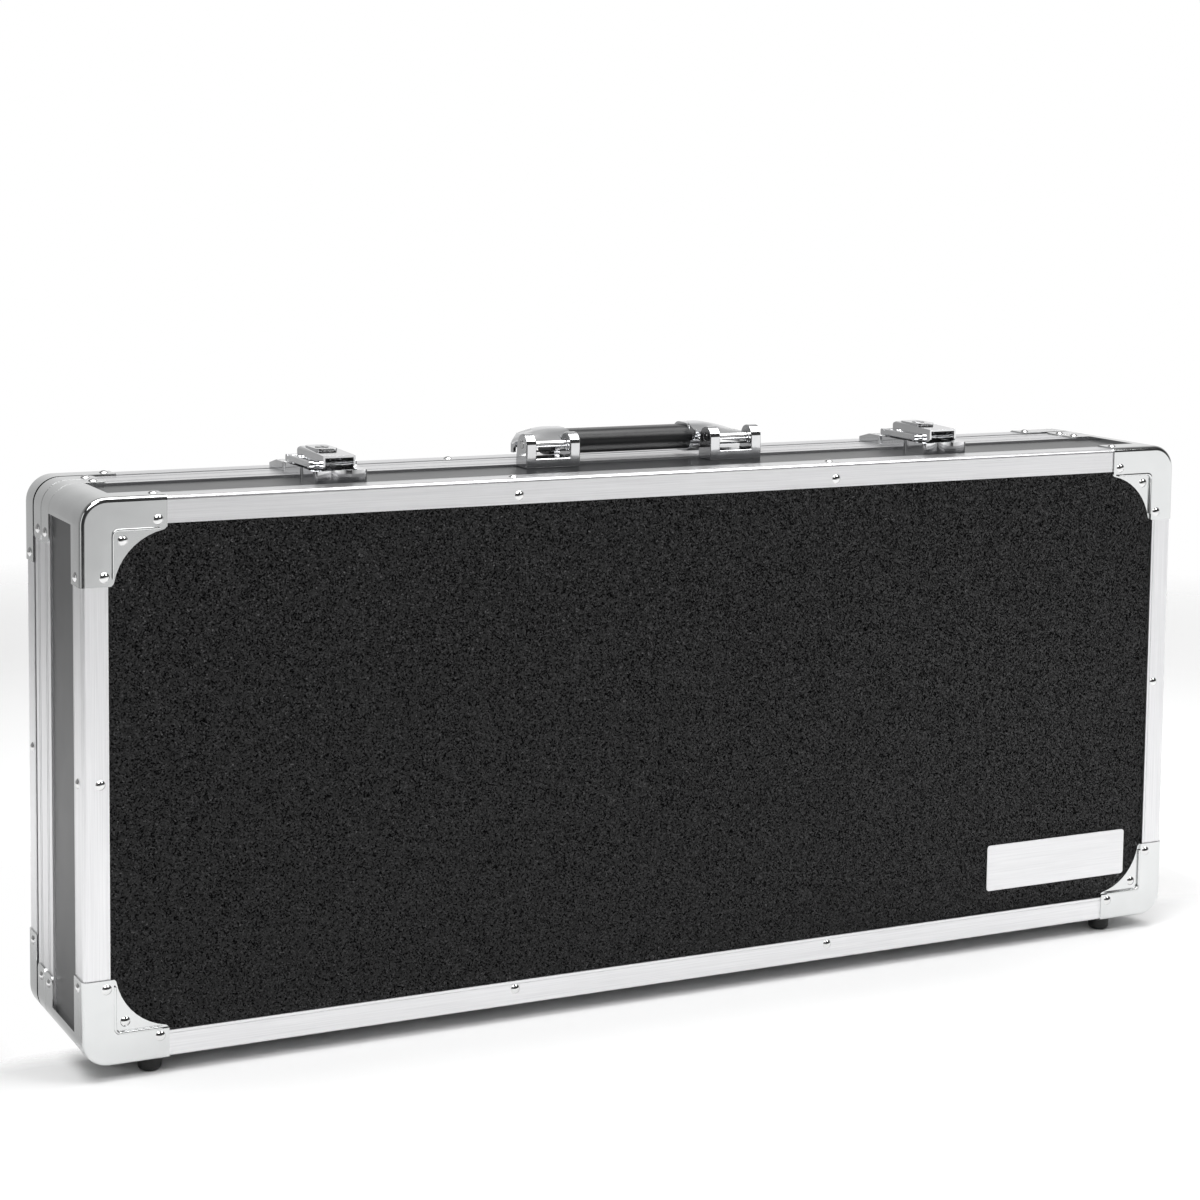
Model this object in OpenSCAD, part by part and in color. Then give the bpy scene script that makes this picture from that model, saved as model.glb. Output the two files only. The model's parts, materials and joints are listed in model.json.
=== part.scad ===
// Hinged aluminium-edged case for a row of guitar pedals, closed and standing on
// its hinge side. X runs along the case, Y from the lid panel to the tray panel, Z up.
// The origin is under the middle of the case, on the plane its feet stand on.

/* [Case] */
// Length of the case over its rails
case_w = 710; // [520:2:900]
// Height of the case over its rails, as it stands
case_h = 304; // [240:2:420]
// Depth of the lid half
lid_d = 77.5; // [70:0.5:110]
// Depth of the tray half
tray_d = 34.5; // [34.5:0.5:60]
// Outside radius of the case's corners
corner_r = 14; // [11:0.5:18]
// Thickness of the panel and wall boards
board_t = 4; // [3:0.5:5]

/* [Rails] */
// Sheet thickness of the aluminium rails
rail_t = 1.2; // [1:0.1:1.6]
// Width of an edge rail on the big faces
rail_face = 14.5; // [13.5:0.5:17]
// Width of an edge rail on the walls
rail_leg = 16; // [15:0.5:18]
// Outside rounding along an edge rail
rail_edge_r = 2.2; // [1.8:0.1:3]
// Width of a closing rail on the walls
closing_w = 15.5; // [14:0.5:17]
// Solid bar behind the mating face of a closing rail
closing_bar = 4; // [3.4:0.2:5]
// Width of the bead along a closing rail's outside
bead_w = 1.4; // [0.8:0.1:2]
// Depth of the grooves beside that bead
bead_groove = 0.4; // [0.2:0.1:0.6]
// Thickness of the tongue on the lid's closing rails
tongue_t = 1.2; // [1:0.1:1.4]
// Height of that tongue
tongue_h = 1.8; // [1:0.1:2]
// Clearance round the tongue
tongue_gap = 0.35; // [0.3:0.05:0.45]

/* [Corners] */
// Sheet thickness of the pressed corners and clips
plate_t = 0.8; // [0.6:0.1:1]
// Reach of a corner plate along each edge
plate_arm = 46.5; // [42:0.5:56]
// Width of a corner plate at the end of its arm
plate_arm_w = 17.5; // [16.5:0.5:20]
// Radius of the scooped inner edge
scoop_r = 34; // [31:1:60]
// Rounding of the arm's inner tip
tip_r = 2.4; // [1.5:0.1:3]
// Distance of the stepped bead from the outer edges
step_at = 15.4; // [15.2:0.1:16]
// Corner rounding of the stepped bead
step_r = 4; // [3:0.5:6]
// Flat beside the round corner strip on the long walls
strip_flat = 5; // [0.5:0.5:7]
// Flat beside the round corner strip on the short walls
strip_flat_end = 1; // [0.5:0.5:4]
// Leg length of a closing rail's corner clip
clip_leg = 32; // [26:1:40]

/* [Rivets] */
// Radius of a rivet head
head_r = 2.8; // [2.2:0.1:3]
// Height of a rivet head
head_h = 1.3; // [0.8:0.1:1.8]
// Radius of a rivet shank
shank_r = 1.5; // [1:0.1:1.8]
// Length of a rivet shank
shank_l = 4.6; // [4:0.1:4.7]
// Clearance round a shank
shank_gap = 0.05; // [0.03:0.01:0.1]
// Rivet row's distance from the edge on the rails
rail_rivet_in = 9.7; // [8:0.1:10.5]
// Outer rivets of a corner plate: distance along the arm
arm_rivet_at = 41.5; // [38:0.5:44]
// Outer rivets of a corner plate: distance from the edge
arm_rivet_in = 12.3; // [10:0.1:12.5]
// Middle rivet of a corner plate: distance from both edges
mid_rivet_in = 22.6; // [21:0.1:24]
// Rivets on a corner's wall arms: distance from the big face
side_rivet_d = 9; // [7:0.5:11]
// Rail rivets: distance from the middle of the long sides
rail_rivet_x = 104; // [80:1:150]
// Clip rivets: distance from the end of the clip
clip_rivet_in = 6; // [4:0.5:9]

/* [Lining] */
// Thickness of the fabric lining
lining_t = 1; // [0.6:0.1:2]
// Thickness of the loop fabric on the tray's floor
loop_t = 2.4; // [1.5:0.1:4]
// Base thickness of the egg-crate foam
foam_base = 9; // [6:0.5:14]
// Height of the foam's bumps over its base
foam_bump = 14; // [8:0.5:20]
// Bumps along the foam
foam_cols = 26; // [18:1:26]
// Bumps up the foam
foam_rows = 11; // [8:1:11]
// Clearance round soft pieces
soft_gap = 0.4; // [0.3:0.1:2]

/* [Label plate] */
// Length of the plate
label_w = 105.5; // [80:0.5:130]
// Height of the plate
label_h = 29; // [20:0.5:40]
// Thickness of the plate
label_t = 0.6; // [0.4:0.1:1]
// Distance of the plate from the case's right side
label_right = 29; // [24:0.5:60]
// Distance of the plate from the case's bottom side
label_up = 28.6; // [24:0.1:60]
// Corner radius of the plate
label_r = 2; // [1:0.5:4]

/* [Handle] */
// Distance between the inner sides of the brackets
handle_gap = 87; // [80:1:110]
// Width of a bracket
bracket_w = 35; // [30:0.5:42]
// Depth of a bracket's foot
bracket_d = 15; // [14:0.5:20]
// Height of a bracket's foot
bracket_foot = 4.6; // [4:0.1:5.5]
// Thickness of a bracket's ears
ear_t = 6.8; // [5:0.1:8]
// Radius of an ear's top
ear_r = 6.6; // [5:0.1:7]
// Distance of a bracket's foot from the closing rail
bracket_gap = 0.5; // [0.3:0.1:6]
// Height of the handle's pins above the wall
pin_z = 12.4; // [11.8:0.1:13]
// Radius of the handle's pins
pin_r = 2; // [1.6:0.1:2.2]
// Clearance of the pins in the handle's eyes
pin_gap = 0.06; // [0.03:0.01:0.1]
// Outer radius of the handle's eyes
eye_r = 3.4; // [3.2:0.1:4]
// Side clearance of the eyes between the ears
eye_side = 0.5; // [0.3:0.1:1]
// Distance from the pins to the middle of the grip
grip_back = 26; // [24:0.5:32]
// Height of the grip's middle above the wall
grip_z = 10.4; // [10:0.1:13]
// Width of the grip
grip_w = 21; // [18:0.5:22]
// Thickness of the grip
grip_h = 14.4; // [12:0.2:16]
// Length of the black grip
grip_l = 104; // [90:1:120]
// Sheet thickness of the handle's ends
end_t = 1.6; // [1.2:0.1:2]
// Reach of a handle's end over the grip, along its back
end_lap = 2; // [1:0.5:6]
// Reach of a handle's end over the grip, along its front
end_lap_front = 11; // [4:0.5:14]
// Width of the collar that closes a handle's end round the grip
collar_w = 9; // [5:0.5:12]
// Length of the slope at a handle's outer corner
end_slope = 16; // [10:0.5:20]
// Straight stretch of a handle's outer side before that slope
end_side_l = 6; // [3:0.5:8]

/* [Latches] */
// Distance of each latch from the middle of the case
latch_x = 200; // [150:1:240]
// Width of a latch's base
base_w = 32; // [31:0.5:36]
// Length of the base, from its front to the parting line
base_l = 49; // [47:0.5:51]
// Height of the base
base_h = 5.4; // [5:0.1:6]
// Corner radius of the base
base_r = 2.4; // [1:0.1:4]
// Distance of the base's side scallops from its front
scallop_d = 20; // [14:0.5:26]
// Radius of those scallops
scallop_r = 3; // [2:0.1:4]
// Depth of the scallops and of the scoop in the base's front
scoop_in = 1.5; // [1:0.1:2]
// Radius of the scoop in the base's front
scoop_front_r = 14; // [12:0.5:15]
// Distance of the trough from the base's front
trough_d = 4; // [3:0.5:5]
// Half width of the trough in the base
trough_half = 9.9; // [9.8:0.05:10]
// Floor thickness of the trough
trough_floor = 1.2; // [1:0.1:1.5]
// Distance of the lever's pivot from the front of the base
pivot_d = 40; // [38:0.5:40]
// Height of the lever's pivot above the wall
pivot_z = 8; // [7.8:0.1:8.2]
// Radius of the latch pins
latch_pin_r = 1.3; // [1:0.1:1.5]
// Thickness of the pivot ears
pivot_ear_t = 1.2; // [1:0.1:1.3]
// Half width of the lever
lever_half = 9.6; // [9:0.05:9.65]
// Sheet thickness of the lever
lever_t = 1.2; // [1:0.1:1.6]
// Height of the lever's front end above the wall
lever_front_z = 13.4; // [13:0.1:14]
// Height of the lever's back end above the wall
lever_back_z = 15; // [14.8:0.1:15.2]
// Distance of the lever's front end from the front of the base
lever_front_d = 3; // [2:0.5:5]
// Reach of the lever behind its pivot
lever_tail = 5.4; // [4.8:0.1:5.6]
// Distance of the link's pin from the front of the base
link_pin_d = 15; // [13:0.5:18]
// Height of the link's pin above the wall
link_pin_z = 7.7; // [7.7:0.1:7.9]
// Thickness of the link's arms
link_arm_t = 2.8; // [2.4:0.1:3]
// Height of the link's arms
link_arm_h = 4; // [3.6:0.1:4.2]
// Radius of the key lock's barrel
lock_r = 4; // [3.4:0.1:4.4]
// Distance of the lock from the front of the base
lock_d = 31; // [29:0.5:32]
// Width of the key slot
slot_w = 1.1; // [0.8:0.1:1.6]
// Length of the catch on the tray
catch_l = 26.5; // [22:0.5:28]
// Width of the recess in the catch
catch_recess_w = 16; // [10:0.5:20]
// Length of the recess in the catch
catch_recess_l = 8; // [5:0.5:9]
// Clearance between sliding latch pieces
latch_gap = 0.3; // [0.25:0.05:0.4]

/* [Hinges] */
// Distance of each hinge from the middle of the case
hinge_x = 200; // [120:1:240]
// Width of a hinge
hinge_w = 50; // [40:1:70]
// Thickness of a hinge leaf
leaf_t = 1.2; // [1:0.1:1.5]
// Length of a leaf from the pin
leaf_l = 14; // [12:0.5:15]
// Outer radius of the knuckles
knuckle_r = 2.8; // [2.6:0.1:3.2]
// Radius of the hinge pin
hinge_pin_r = 1.4; // [1.2:0.1:1.5]
// Clearance of the pin in the moving knuckles
hinge_gap = 0.05; // [0.02:0.01:0.1]
// Side clearance between knuckles
knuckle_side = 0.2; // [0.15:0.05:0.4]

/* [Feet] */
// Radius of a foot
foot_r = 6.5; // [5:0.25:8]
// Height of a foot
foot_h = 9; // [8:0.5:14]
// Rounding of a foot's lower edge
foot_round = 2.6; // [1.5:0.1:3]
// Distance of each foot from the middle of the case
foot_x = 316; // [240:1:325]
// Distance of a foot from the nearest big face
foot_y = 11.5; // [9:0.5:14]

/* [Hidden] */
$fn = 48;
case_d = lid_d + tray_d;
front_y = -case_d / 2;
mid_z = foot_h + case_h / 2;
eps = 0.01;
fine = 96;

board_out = rail_t;                       // outer face of the boards below the rails
board_in = rail_t + board_t;              // inner face of the boards
board_r = corner_r - rail_t;
rail_end = corner_r + 1;                  // edge rails stop short of the round corners
closing_t = rail_t + board_t + rail_t;    // outer leg, board slot, inner leg
slot_gap = 0.3;                           // end clearance of a board in its slot
tongue_z = -closing_t / 2;
scoop_mid = (plate_arm + plate_arm_w) / 2;
scoop_half = (plate_arm - plate_arm_w) / 2;
scoop_c = scoop_mid + sqrt(pow(scoop_r, 2) / 2 - pow(scoop_half, 2));
side_arm_d = rail_leg + 0.6;              // depth of a corner's wall arms
strip_back = lid_d - closing_w - 0.2;     // the round strip ends at the closing rail
inner_leg_l = closing_w - 2.5;
inner_w = case_w - 2 * board_in;
inner_h = case_h - 2 * board_in;
wall_back = lid_d - closing_bar - slot_gap;
leaf_rivet_in = 4;
lining_back = lid_d - inner_leg_l - 0.1;

bracket_mid = (handle_gap + bracket_w) / 2;
window_w = bracket_w - 2 * ear_t;
bracket_y = lid_d - closing_w - bracket_gap - bracket_d;
pin_y = bracket_y + ear_r;
grip_y = pin_y + grip_back;

base_y = lid_d - base_l - 0.5;            // the base's front, from the front of the case
base_foot_l = lid_d - closing_w - base_y - 0.2;
link_in = trough_half + pivot_ear_t + 0.2;
link_out = link_in + link_arm_t;
lever_back_d = pivot_d + lever_tail;
catch_y = lid_d + 0.6;
hinge_z = knuckle_r + 0.1;

function half_of(side) = (side % 2 == 0 ? case_h : case_w) / 2;
function length_of(side) = side % 2 == 0 ? case_w : case_h;

// ---- placing ----

// Puts a piece on a side of the case: 0 top, 1 right, 2 bottom, 3 left. There x runs
// along the side, y is the depth from the front and z points out of the rails' face.
module on_side(side) {
    translate([0, front_y, mid_z])
        rotate([0, 90 * side, 0])
            translate([0, 0, half_of(side)])
                children();
}

// Puts a piece at an outer corner; inwards is -x and -z, and y is the depth.
module at_corner(sx, sz) {
    translate([0, front_y, mid_z])
        mirror([sx < 0 ? 1 : 0, 0, 0])
            mirror([0, 0, sz < 0 ? 1 : 0])
                translate([case_w / 2, 0, case_h / 2])
                    children();
}

module every_corner() {
    for (sx = [-1, 1], sz = [-1, 1])
        at_corner(sx, sz)
            children();
}

// A corner piece's second arm is the first one with x and z exchanged.
module both_arms() {
    for (turn = [0, 1])
        mirror([turn, 0, -turn])
            children();
}

module left_and_right(x) {
    for (side = [-1, 1])
        translate([side * x, 0, 0])
            children();
}

// Turns a piece measured from the front face into one measured from the back face.
module from_back() {
    mirror([0, 1, 0])
        children();
}

// Extrudes a section drawn as (depth, outwards) along a side.
module along(length) {
    rotate([90, 0, 90])
        linear_extrude(length, center = true)
            children();
}

// Extrudes a flat shape drawn as (x, z) from one depth to another.
module facing(from_d, to_d) {
    translate([0, to_d, 0])
        rotate([90, 0, 0])
            linear_extrude(to_d - from_d)
                children();
}

module rounded(w, h, r) {
    square([w - 2 * r, h], center = true);
    square([w, h - 2 * r], center = true);
    for (x = [-1, 1], y = [-1, 1])
        translate([x * (w / 2 - r), y * (h / 2 - r)])
            circle(r, $fn = fine);
}

// The case's outline, set in by a distance, from one depth to another.
module case_prism(inset, from_d, to_d) {
    translate([0, front_y, mid_z])
        facing(from_d, to_d)
            rounded(case_w - 2 * inset, case_h - 2 * inset, corner_r - inset);
}

// What a rounding of radius r takes off the corner at the origin of x < 0, y < 0.
module corner_waste(r) {
    difference() {
        translate([-r, -r])
            square(r + eps);
        translate([-r, -r])
            circle(r, $fn = fine);
    }
}

// ---- rivets ----

module rivet() {
    cap_r = (pow(head_r, 2) + pow(head_h, 2)) / (2 * head_h);
    intersection() {
        translate([0, 0, head_h - cap_r])
            sphere(cap_r);
        cylinder(r = head_r + eps, h = head_h + eps);
    }
    translate([0, 0, -shank_l])
        cylinder(r = shank_r, h = shank_l + eps);
}

module rivet_bore() {
    translate([0, 0, -shank_l - shank_gap])
        cylinder(r = shank_r + shank_gap, h = shank_l + 3 * shank_gap);
}

// A rivet on the big face, pointing out of it.
module face_rivet(x, z, d) {
    translate([x, d, z])
        rotate([90, 0, 0])
            children();
}

// Rivets along one side: those on the big face, and those on the wall.
module face_rivets(side) {
    arm_x = half_of(side + 1) - arm_rivet_at;
    on_side(side) {
        for (x = [-arm_x, arm_x])
            face_rivet(x, -arm_rivet_in, -plate_t)
                children();
        for (x = side % 2 == 0 ? [-rail_rivet_x, rail_rivet_x] : [0])
            face_rivet(x, -rail_rivet_in, 0)
                children();
    }
}

// The arms over the feet have no rivet.
module wall_rivets(side) {
    arm_x = half_of(side + 1) - arm_rivet_at;
    on_side(side) {
        for (x = side == 2 ? [] : [-arm_x, arm_x])
            translate([x, side_rivet_d, plate_t])
                children();
        for (x = side % 2 == 0 ? [-rail_rivet_x, rail_rivet_x] : [0])
            translate([x, side_rivet_d, 0])
                children();
    }
}

module mid_rivets() {
    every_corner()
        face_rivet(-mid_rivet_in, -mid_rivet_in, rail_t - plate_t)
            children();
}

// Rivets in the legs of the clips by the parting line: way -1 the lid's, 1 the tray's.
module clip_rivets(side, way) {
    on_side(side)
        left_and_right(half_of(side + 1) - clip_leg + clip_rivet_in)
            translate([0, lid_d + way * closing_w / 2, plate_t])
                children();
}

module leaf_rivets(way) {
    on_side(2)
        left_and_right(hinge_x)
            left_and_right(hinge_w / 2 - leaf_rivet_in)
                translate([0, lid_d + way * (leaf_l - leaf_rivet_in), leaf_t])
                    children();
}

module half_rivets() {
    for (side = [0 : 3]) {
        face_rivets(side)
            rivet();
        wall_rivets(side)
            rivet();
    }
    mid_rivets()
        rivet();
}

module parting_rivets(way) {
    for (side = [0 : 3])
        clip_rivets(side, way)
            rivet();
    leaf_rivets(way)
        rivet();
}

module lid_rivets() {
    color("gainsboro") {
        half_rivets();
        parting_rivets(-1);
    }
}

module tray_rivets() {
    color("gainsboro") {
        from_back()
            half_rivets();
        parting_rivets(1);
    }
}

// ---- boards ----

module panel_board() {
    difference() {
        case_prism(board_out, board_out, board_in);
        for (side = [0 : 3])
            face_rivets(side)
                rivet_bore();
        mid_rivets()
            rivet_bore();
    }
}

// A wall board; the long ones run over the ends of the short ones.
module wall_board(side, to_d) {
    length = side % 2 == 0 ? case_w - 2 * board_out : case_h - 2 * board_in;
    difference() {
        intersection() {
            on_side(side)
                translate([-length / 2, board_in, -board_in])
                    cube([length, to_d - board_in, board_t]);
            case_prism(board_out, 0, case_d);
        }
        wall_rivets(side)
            rivet_bore();
    }
}

module parting_bores(side, way) {
    clip_rivets(side, way)
        rivet_bore();
    if (side == 2)
        leaf_rivets(way)
            rivet_bore();
}

module lid_panel() {
    color("#2b2b2d")
        panel_board();
}

module lid_wall(side) {
    color("#6f7375")
        difference() {
            wall_board(side, wall_back);
            parting_bores(side, -1);
        }
}

module tray_panel() {
    color("#2b2b2d")
        from_back()
            panel_board();
}

module tray_wall(side) {
    color("#222224")
        difference() {
            from_back()
                wall_board(side, tray_d - closing_bar - slot_gap);
            parting_bores(side, 1);
        }
}

// ---- rails ----

// Section of an edge rail, drawn as (depth, outwards): an L over the case's edge.
module edge_rail_section() {
    groove_w = 0.6;
    groove_t = 0.25;
    difference() {
        union() {
            translate([0, -rail_t])
                square([rail_leg, rail_t]);
            translate([0, -rail_face])
                square([rail_t, rail_face]);
        }
        mirror([1, 0])
            corner_waste(rail_edge_r);
        translate([rail_leg - 3 * groove_w, -groove_t])
            square([groove_w, groove_t + eps]);
        translate([-eps, 2 * groove_w - rail_face])
            square([groove_t + eps, groove_w]);
    }
}

module edge_rail(side) {
    difference() {
        on_side(side)
            along(length_of(side) - 2 * rail_end)
                edge_rail_section();
        face_rivets(side)
            rivet_bore();
        wall_rivets(side)
            rivet_bore();
    }
}

module lid_edge_rail(side) {
    color("#dcdcde")
        edge_rail(side);
}

module tray_edge_rail(side) {
    color("#dcdcde")
        from_back()
            edge_rail(side);
}

// Section of a closing rail: x runs away from the parting line, y points outwards.
module closing_section() {
    difference() {
        union() {
            translate([0, -rail_t])
                square([closing_w, rail_t]);
            translate([0, -closing_t])
                square([inner_leg_l, rail_t]);
            translate([0, -closing_t])
                square([closing_bar, closing_t]);
        }
        for (x = [-1, 1])
            translate([closing_w / 2 + x * bead_w - bead_groove, -bead_groove])
                square([2 * bead_groove, bead_groove + eps]);
    }
}

module tongue_section(gap) {
    translate([-tongue_h - gap, tongue_z - tongue_t / 2 - gap])
        square([tongue_h + gap + eps, tongue_t + 2 * gap]);
}

// Keeps what lies between the mitres at both ends of a closing rail.
module mitred(side) {
    half = half_of(side + 1);
    reach = closing_t + 1;
    intersection() {
        on_side(side) {
            intersection() {
                along(2 * half)
                    children();
                facing(0, case_d)
                    polygon([[-half - 1, 1], [half + 1, 1], [half - reach, -reach],
                        [reach - half, -reach]]);
            }
        }
        case_prism(0, 0, case_d);
    }
}

module lid_closing_rail(side) {
    color("#dcdcde")
        difference() {
            mitred(side)
                translate([lid_d, 0])
                    mirror([1, 0])
                        union() {
                            closing_section();
                            tongue_section(0);
                        }
            parting_bores(side, -1);
        }
}

module tray_closing_rail(side) {
    color("#dcdcde")
        difference() {
            mitred(side)
                translate([lid_d, 0])
                    difference() {
                        closing_section();
                        mirror([1, 0])
                            tongue_section(tongue_gap);
                    }
            parting_bores(side, 1);
        }
}

// ---- pressed corners ----

// Section of the pressing over the case's edge, drawn as (outwards, depth).
module press_section(reach, depth) {
    difference() {
        translate([-reach, -plate_t])
            square([reach + plate_t, plate_t + depth]);
        translate([plate_t, -plate_t])
            mirror([0, 1])
                corner_waste(rail_edge_r + plate_t);
        difference() {
            translate([-reach - 1, 0])
                square([reach + 1, depth + 1]);
            mirror([0, 1])
                corner_waste(rail_edge_r);
        }
    }
}

// Revolves a section drawn as (radius, depth) a quarter turn round the corner.
module corner_turn() {
    translate([-corner_r, 0, -corner_r])
        rotate([-90, 0, 0])
            rotate(-90)
                rotate_extrude(angle = 90, $fn = fine)
                    intersection() {
                        children();
                        translate([0, -case_d])
                            square([2 * corner_r, 3 * case_d]);
                    }
}

// What lies inside the stepped bead, drawn as (x, z).
module inside_bead(inset, reach) {
    edge = step_at + inset;
    difference() {
        translate([-reach, -reach])
            square(reach - edge);
        translate([-edge, -edge])
            corner_waste(step_r - inset);
    }
}

// Takes the corner off an arm's inner tip, tangent to its end and to the scoop.
module tip_waste() {
    c = [tip_r - plate_arm, sqrt(pow(scoop_r + tip_r, 2) - pow(scoop_c + tip_r - plate_arm, 2))
        - scoop_c];
    t = scoop_r / (scoop_r + tip_r) * (c + [scoop_c, scoop_c]) - [scoop_c, scoop_c];
    difference() {
        polygon([[-plate_arm - 1, c[1]], c, t, [-plate_arm - 1, t[1] - 1]]);
        translate(c)
            circle(tip_r, $fn = fine);
    }
}

// The lower part of a corner plate: inside the bead and outside the scoop.
module low_region() {
    difference() {
        inside_bead(0, plate_arm);
        translate([-scoop_c, -scoop_c])
            circle(scoop_r, $fn = fine);
        for (turn = [0, 1])
            mirror([turn, -turn])
                tip_waste();
    }
}

// Pressed corner; the round strip runs back to a depth of its own.
module corner_pressing(strip_to) {
    arm_l = plate_arm - corner_r;
    both_arms() {
        translate([-corner_r - arm_l / 2, 0, 0])
            along(arm_l)
                mirror([1, -1])
                    press_section(step_at, side_arm_d);
    }
    corner_turn()
        translate([corner_r, 0])
            press_section(corner_r, side_arm_d);
    if (strip_to > side_arm_d) {
        corner_turn()
            translate([board_r, rail_leg + eps])
                square([rail_t + plate_t, strip_to - rail_leg - eps]);
        for (turn = [0, 1])
            let (flat = turn == 0 ? strip_flat : strip_flat_end)
                mirror([turn, 0, -turn])
                    translate([-corner_r - flat, rail_leg + eps, -rail_t])
                        cube([flat + eps, strip_to - rail_leg - eps, rail_t + plate_t]);
    }
    facing(-plate_t, 0)
        difference() {
            translate([-step_at - step_r, -step_at - step_r])
                square(step_r);
            translate([-step_at - step_r, -step_at - step_r])
                circle(step_r, $fn = fine);
        }
    difference() {
        facing(-plate_t, rail_t)
            low_region();
        facing(-plate_t - 1, rail_t - plate_t)
            inside_bead(plate_t, plate_arm + 1);
    }
}

module corners(strip_to) {
    difference() {
        every_corner()
            corner_pressing(strip_to);
        for (side = [0 : 3]) {
            face_rivets(side)
                rivet_bore();
            wall_rivets(side)
                rivet_bore();
        }
        mid_rivets()
            rivet_bore();
    }
}

module lid_corners() {
    color("#c5c7c8")
        corners(strip_back);
}

module tray_corners() {
    color("#c5c7c8")
        from_back()
            corners(side_arm_d);
}

// Clip round a closing rail's corner, from one depth to another.
module corner_clip(from_d, to_d) {
    depth = to_d - from_d;
    leg = clip_leg - corner_r;
    corner_turn()
        translate([corner_r, from_d])
            square([plate_t, depth]);
    both_arms()
        translate([-corner_r - leg / 2, from_d + depth / 2, 0])
            linear_extrude(plate_t)
                intersection() {
                    translate([depth / 2, 0])
                        rounded(leg + depth, depth, depth / 4);
                    square([leg + 2 * eps, depth], center = true);
                }
}

module clips(way) {
    difference() {
        every_corner()
            corner_clip(way < 0 ? lid_d - closing_w : lid_d + latch_gap,
                way < 0 ? lid_d - latch_gap : lid_d + closing_w);
        for (side = [0 : 3])
            clip_rivets(side, way)
                rivet_bore();
    }
}

module lid_corner_clips() {
    color("#c5c7c8")
        clips(-1);
}

module tray_corner_clips() {
    color("#c5c7c8")
        clips(1);
}

// ---- lining, foam and label plate ----

module lining(from_d, to_d, floor_t) {
    difference() {
        translate([-inner_w / 2, from_d, -inner_h / 2])
            cube([inner_w, to_d - from_d, inner_h]);
        translate([lining_t - inner_w / 2, from_d + floor_t, lining_t - inner_h / 2])
            cube([inner_w - 2 * lining_t, case_d, inner_h - 2 * lining_t]);
    }
}

module lid_lining() {
    color("#18181a")
        translate([0, front_y, mid_z])
            lining(board_in, lining_back, lining_t);
}

module tray_lining() {
    color("#18181a")
        from_back()
            translate([0, front_y, mid_z])
                lining(board_in, tray_d - inner_leg_l - 0.1, loop_t);
}

// One side of the pad below a row t of bumps and hollows that starts and ends on a bump.
function foam_side(t, near, far) = let (m = len(t) - 1) concat(
    [[t[0], t[1], near], [t[m - 1], t[m], far],
        concat([near], [for (k = [1 : 2 : m - 1]) t[k]], [far])],
    [for (k = [1 : 2 : m - 3]) [t[k], t[k + 1], t[k + 2]]]);

// Egg-crate pad: a grid of points that are bumps and hollows in turn.
module egg_crate_foam() {
    width = inner_w - 2 * lining_t - 2 * soft_gap;
    height = inner_h - 2 * lining_t - 2 * soft_gap;
    nx = 2 * foam_cols;
    nz = 2 * foam_rows;
    top = [for (j = [0 : nz], i = [0 : nx])
        [width * (i / nx - 0.5), foam_base + ((i + j) % 2 == 0 ? foam_bump : 0),
            height * (j / nz - 0.5)]];
    foot = [for (x = [-1, 1], z = [-1, 1]) [x * width / 2, 0, z * height / 2]];
    n = len(top);
    bumps = [for (j = [0 : nz - 1], i = [0 : nx - 1])
        let (a = j * (nx + 1) + i, b = a + 1, c = a + nx + 2, d = a + nx + 1)
            each (i + j) % 2 == 0 ? [[a, b, d], [b, c, d]] : [[a, b, c], [a, c, d]]];
    sides = concat(
        foam_side([for (i = [nx : -1 : 0]) i], n + 2, n),
        foam_side([for (i = [0 : nx]) nz * (nx + 1) + i], n + 1, n + 3),
        foam_side([for (j = [0 : nz]) j * (nx + 1)], n, n + 1),
        foam_side([for (j = [nz : -1 : 0]) j * (nx + 1) + nx], n + 3, n + 2),
        [[n, n + 1, n + 3, n + 2]]);
    color("#1c1c1e")
        translate([0, front_y + board_in + lining_t + latch_gap, mid_z])
            polyhedron(concat(top, foot), concat(bumps, sides));
}

module label_plate() {
    color("#d8d9da")
        translate([case_w / 2 - label_right - label_w / 2, front_y,
            mid_z - case_h / 2 + label_up + label_h / 2])
            facing(rail_t - label_t, rail_t)
                rounded(label_w, label_h, label_r);
}

// ---- handle ----

// Point where a line from p touches a circle of radius r round the origin, on its upper side.
function touch(p, r) = let (turn = atan2(p[1], p[0]) + acos(r / norm(p)))
    r * [cos(turn), sin(turn)];

// Outline of a bracket's ear, drawn as (depth, outwards) from the pin.
module ear_section() {
    foot_back = [bracket_d - ear_r, bracket_foot - pin_z];
    circle(ear_r);
    polygon([[-ear_r, -pin_z - rail_t], [bracket_d - ear_r, -pin_z - rail_t], foot_back,
        touch(foot_back, ear_r), [0, 0], [-ear_r, 0]]);
}

module handle_bracket(side) {
    color("#d0d2d4")
        on_side(0)
            translate([side * bracket_mid, 0, 0])
                difference() {
                    union() {
                        translate([-bracket_w / 2, bracket_y, -rail_t])
                            cube([bracket_w, bracket_d, rail_t + bracket_foot]);
                        left_and_right((bracket_w - ear_t) / 2)
                            translate([0, pin_y, pin_z])
                                along(ear_t)
                                    ear_section();
                    }
                    translate([0, pin_y, pin_z])
                        along(bracket_w + 1)
                            circle(pin_r + shank_gap);
                }
}

module handle_pins() {
    color("#e4e5e6")
        on_side(0)
            left_and_right(bracket_mid)
                translate([0, pin_y, pin_z])
                    along(bracket_w)
                        circle(pin_r);
}

module grip_section(grow) {
    r = grip_h / 2 + grow;
    for (y = [-1, 1])
        translate([y * (grip_w - grip_h) / 2, 0])
            circle(r, $fn = fine);
    square([grip_w - grip_h, 2 * r], center = true);
}

module handle_grip() {
    color("#161617")
        on_side(0)
            translate([0, grip_y, grip_z])
                along(grip_l)
                    grip_section(0);
}

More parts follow.
